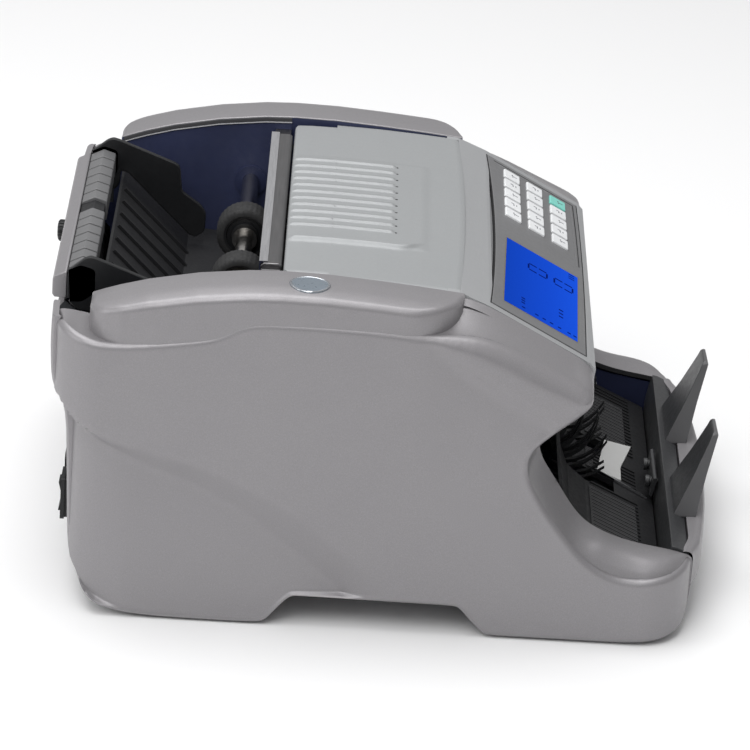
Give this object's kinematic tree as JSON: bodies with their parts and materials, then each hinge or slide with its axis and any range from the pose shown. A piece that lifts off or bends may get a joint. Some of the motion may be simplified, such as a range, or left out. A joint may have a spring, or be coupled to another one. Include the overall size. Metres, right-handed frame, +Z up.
{
  "type": "banknote counting machine",
  "caption": "Desktop banknote counter with a rear note hopper, sloping keypad and display console, and a front stacker pocket with two upright wings.",
  "frame": {"origin": "middle of the machine's footprint on the table, between its front, rear and side extremes, at the bottom of the rubber feet", "axes": "+X to the operator's right, +Y to the rear where the note hopper is, -Y to the operator and the stacker pocket, +Z up"},
  "size_m": [0.262, 0.3136, 0.166],
  "materials": {
    "body_grey": "metallic fleck paint, satin",
    "cover_grey": "fine satin texture",
    "console_grey": "satin",
    "panel_grey": "satin film",
    "black_plastic": "fine matt texture",
    "dark_grey_plastic": "satin",
    "navy_steel": "dark blue powder coat",
    "zinc_steel": "zinc plated",
    "shaft_steel": "ground",
    "chrome": "polished",
    "rubber_black": "matt",
    "rubber_grey": "matt",
    "lcd_blue": "backlit display",
    "key_white": "satin",
    "key_teal": "satin",
    "pcb_green": "solder mask",
    "badge_blue": "satin",
    "motor_metal": "cast and machined",
    "transformer_iron": "laminations"
  },
  "bodies": {
    "casing": {"base_plate": "zinc_steel", "rubber_feet": "rubber_black", "side_cover_left": "body_grey", "side_cover_right": "body_grey", "rear_cover": "body_grey", "front_casing": "body_grey", "side_plates": "navy_steel", "tie_rods": "zinc_steel", "machine_screws": "zinc_steel", "bearings": "shaft_steel", "console_frame": "console_grey", "display_panel": "panel_grey", "lcd_module": "lcd_blue", "boards_and_cable": "pcb_green", "cover_hinge_pins": "shaft_steel", "cross_bar": "zinc_steel", "cross_bar_strip": "chrome", "retard_rollers": "rubber_black", "feed_tray": "black_plastic", "transport_plate": "black_plastic", "hopper_beam": "dark_grey_plastic", "drive_motor": "motor_metal", "drive_belts": "rubber_black", "stacker_tray": "black_plastic", "stacker_plate": "dark_grey_plastic", "stacker_bracket": "zinc_steel", "transformer": "transformer_iron", "power_entry": "black_plastic", "badge": "badge_blue"},
    "top_cover": {"top_cover": "cover_grey"},
    "guide_left": {"hopper_guide_left": "black_plastic"},
    "guide_right": {"hopper_guide_right": "black_plastic"},
    "knob": {"thickness_knob": "black_plastic"},
    "pickup": {"pickup_shaft": "shaft_steel", "pickup_wheels": "black_plastic", "pickup_tyres": "rubber_grey"},
    "feed": {"feed_shaft": "shaft_steel", "feed_rollers": "rubber_black"},
    "transport": {"transport_shaft": "shaft_steel", "transport_rollers": "rubber_black"},
    "idler": {"idler_rollers": "dark_grey_plastic"},
    "stacker": {"stacker_shaft": "shaft_steel", "stacker_wheels": "black_plastic"},
    "motor": {"motor_shaft": "shaft_steel"},
    "rocker": {"power_switch": "black_plastic"},
    "key_01": {"key_01": "key_white"},
    "key_02": {"key_02": "key_white"},
    "key_03": {"key_03": "key_white"},
    "key_04": {"key_04": "key_white"},
    "key_05": {"key_05": "key_white"},
    "key_06": {"key_06": "key_white"},
    "key_07": {"key_07": "key_white"},
    "key_08": {"key_08": "key_white"},
    "key_09": {"key_09": "key_white"},
    "key_10": {"key_10": "key_white"},
    "key_11": {"key_11": "key_teal"},
    "key_12": {"key_12": "key_white"},
    "key_13": {"key_13": "key_white"},
    "key_14": {"key_14": "key_white"},
    "key_15": {"key_15": "key_white"}
  },
  "joints": [
    {"name": "top_cover_hinge", "type": "hinge", "parent": "casing", "child": "top_cover", "pos_m": [0, -0.0275, 0.15825], "axis": [1, 0, 0], "range_deg": [0, 65]},
    {"name": "guide_left_slide", "type": "slide", "parent": "casing", "child": "guide_left", "axis": [1, 0, 0], "range_m": [0, 0.03]},
    {"name": "guide_right_slide", "type": "slide", "parent": "casing", "child": "guide_right", "axis": [-1, 0, 0], "range_m": [0, 0.03]},
    {"name": "thickness_turn", "type": "hinge", "parent": "casing", "child": "knob", "pos_m": [0.02, 0.1548, 0.131], "axis": [0, 1, 0], "range_deg": [-180, 180]},
    {"name": "feed_spin", "type": "hinge", "parent": "casing", "child": "feed", "pos_m": [0, 0.0348, 0.118], "axis": [1, 0, 0], "continuous": true},
    {"name": "pickup_spin", "type": "hinge", "parent": "casing", "child": "pickup", "pos_m": [0, 0.0713, 0.131], "axis": [1, 0, 0], "continuous": true},
    {"name": "transport_spin", "type": "hinge", "parent": "casing", "child": "transport", "pos_m": [0, -0.0152, 0.095], "axis": [1, 0, 0], "continuous": true},
    {"name": "idler_spin", "type": "hinge", "parent": "casing", "child": "idler", "pos_m": [0, -0.0122, 0.1191], "axis": [1, 0, 0], "continuous": true},
    {"name": "stacker_spin", "type": "hinge", "parent": "casing", "child": "stacker", "pos_m": [0, -0.0732, 0.05], "axis": [1, 0, 0], "continuous": true},
    {"name": "motor_spin", "type": "hinge", "parent": "casing", "child": "motor", "pos_m": [0, 0.0768, 0.046], "axis": [1, 0, 0], "continuous": true},
    {"name": "rocker_tilt", "type": "hinge", "parent": "casing", "child": "rocker", "pos_m": [-0.092, 0.1428, 0.044], "axis": [1, 0, 0], "range_deg": [-8, 8]},
    {"name": "key_01_press", "type": "slide", "parent": "casing", "child": "key_01", "axis": [0, 0.4696, -0.8829], "range_m": [0, 0.001], "stiffness_N_per_m": 400},
    {"name": "key_02_press", "type": "slide", "parent": "casing", "child": "key_02", "axis": [0, 0.4696, -0.8829], "range_m": [0, 0.001], "stiffness_N_per_m": 400},
    {"name": "key_03_press", "type": "slide", "parent": "casing", "child": "key_03", "axis": [0, 0.4696, -0.8829], "range_m": [0, 0.001], "stiffness_N_per_m": 400},
    {"name": "key_04_press", "type": "slide", "parent": "casing", "child": "key_04", "axis": [0, 0.4696, -0.8829], "range_m": [0, 0.001], "stiffness_N_per_m": 400},
    {"name": "key_05_press", "type": "slide", "parent": "casing", "child": "key_05", "axis": [0, 0.4696, -0.8829], "range_m": [0, 0.001], "stiffness_N_per_m": 400},
    {"name": "key_06_press", "type": "slide", "parent": "casing", "child": "key_06", "axis": [0, 0.4696, -0.8829], "range_m": [0, 0.001], "stiffness_N_per_m": 400},
    {"name": "key_07_press", "type": "slide", "parent": "casing", "child": "key_07", "axis": [0, 0.4696, -0.8829], "range_m": [0, 0.001], "stiffness_N_per_m": 400},
    {"name": "key_08_press", "type": "slide", "parent": "casing", "child": "key_08", "axis": [0, 0.4696, -0.8829], "range_m": [0, 0.001], "stiffness_N_per_m": 400},
    {"name": "key_09_press", "type": "slide", "parent": "casing", "child": "key_09", "axis": [0, 0.4696, -0.8829], "range_m": [0, 0.001], "stiffness_N_per_m": 400},
    {"name": "key_10_press", "type": "slide", "parent": "casing", "child": "key_10", "axis": [0, 0.4696, -0.8829], "range_m": [0, 0.001], "stiffness_N_per_m": 400},
    {"name": "key_11_press", "type": "slide", "parent": "casing", "child": "key_11", "axis": [0, 0.4696, -0.8829], "range_m": [0, 0.001], "stiffness_N_per_m": 400},
    {"name": "key_12_press", "type": "slide", "parent": "casing", "child": "key_12", "axis": [0, 0.4696, -0.8829], "range_m": [0, 0.001], "stiffness_N_per_m": 400},
    {"name": "key_13_press", "type": "slide", "parent": "casing", "child": "key_13", "axis": [0, 0.4696, -0.8829], "range_m": [0, 0.001], "stiffness_N_per_m": 400},
    {"name": "key_14_press", "type": "slide", "parent": "casing", "child": "key_14", "axis": [0, 0.4696, -0.8829], "range_m": [0, 0.001], "stiffness_N_per_m": 400},
    {"name": "key_15_press", "type": "slide", "parent": "casing", "child": "key_15", "axis": [0, 0.4696, -0.8829], "range_m": [0, 0.001], "stiffness_N_per_m": 400}
  ],
  "couplings": [
    {"joint": "pickup_spin", "follows": "feed_spin", "ratio": 1},
    {"joint": "transport_spin", "follows": "feed_spin", "ratio": 1},
    {"joint": "idler_spin", "follows": "feed_spin", "ratio": -1.4},
    {"joint": "stacker_spin", "follows": "feed_spin", "ratio": 0.78571},
    {"joint": "motor_spin", "follows": "feed_spin", "ratio": 2}
  ]
}
